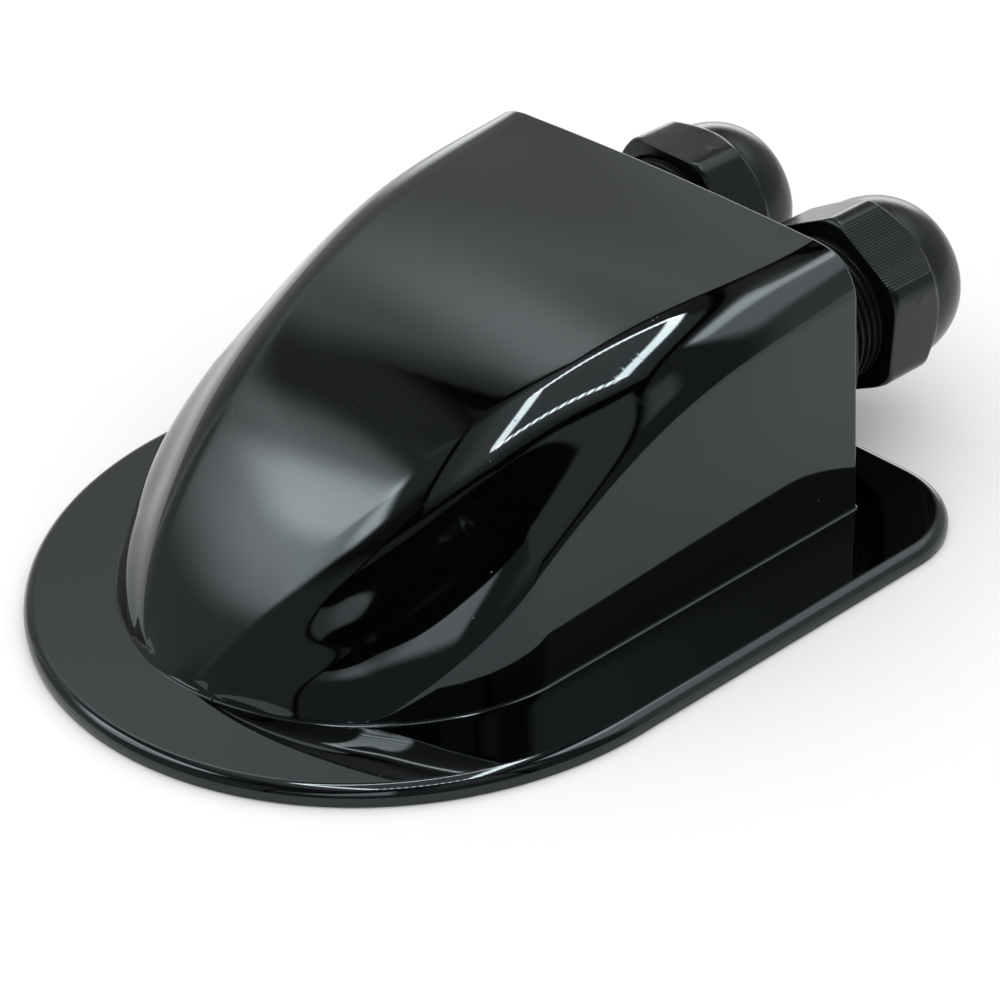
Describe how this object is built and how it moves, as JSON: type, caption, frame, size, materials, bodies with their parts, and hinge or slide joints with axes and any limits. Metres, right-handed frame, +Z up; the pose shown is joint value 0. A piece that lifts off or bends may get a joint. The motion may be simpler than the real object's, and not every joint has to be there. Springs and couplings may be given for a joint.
{
  "type": "roof cable entry",
  "caption": "Streamlined roof cable entry: a glossy moulded hood on a bonding flange, with nylon cable glands in its back wall.",
  "frame": {"origin": "on the flange's underside, under the middle of the whole length and width", "axes": "+X to the side of the right gland, +Y from the nose to the cable glands, +Z up from the roof"},
  "size_m": [0.12, 0.1652, 0.0502],
  "materials": {
    "hood_plastic": "high gloss moulded ABS, near black",
    "gland_nylon": "satin moulded nylon, black",
    "gland_rubber": "matt black sealing rubber"
  },
  "bodies": {
    "base": {"housing": "hood_plastic", "left_sealing_washer": "gland_rubber", "right_sealing_washer": "gland_rubber", "left_gland_body": "gland_nylon", "right_gland_body": "gland_nylon", "left_lock_nut": "gland_nylon", "right_lock_nut": "gland_nylon"},
    "left_clamp": {"left_clamping_cage": "gland_nylon", "left_sealing_bush": "gland_rubber"},
    "left_nut": {"left_dome_nut": "gland_nylon"},
    "right_clamp": {"right_clamping_cage": "gland_nylon", "right_sealing_bush": "gland_rubber"},
    "right_nut": {"right_dome_nut": "gland_nylon"}
  },
  "joints": [
    {"name": "left_clamp_slide", "type": "slide", "parent": "base", "child": "left_clamp", "axis": [0, -1, 0], "range_m": [-0.003, 0.0073]},
    {"name": "left_nut_turn", "type": "hinge", "parent": "left_clamp", "child": "left_nut", "pos_m": [-0.0205, 0.0608, 0.0247], "axis": [0, -1, 0], "range_deg": [-718, 1750]},
    {"name": "right_clamp_slide", "type": "slide", "parent": "base", "child": "right_clamp", "axis": [0, -1, 0], "range_m": [-0.0048, 0.0055]},
    {"name": "right_nut_turn", "type": "hinge", "parent": "right_clamp", "child": "right_nut", "pos_m": [0.0205, 0.059, 0.0247], "axis": [0, -1, 0], "range_deg": [-1150, 1318]}
  ],
  "couplings": [
    {"joint": "left_clamp_slide", "follows": "left_nut_turn", "m_per_rad": 0.00023873},
    {"joint": "right_clamp_slide", "follows": "right_nut_turn", "m_per_rad": 0.00023873}
  ]
}
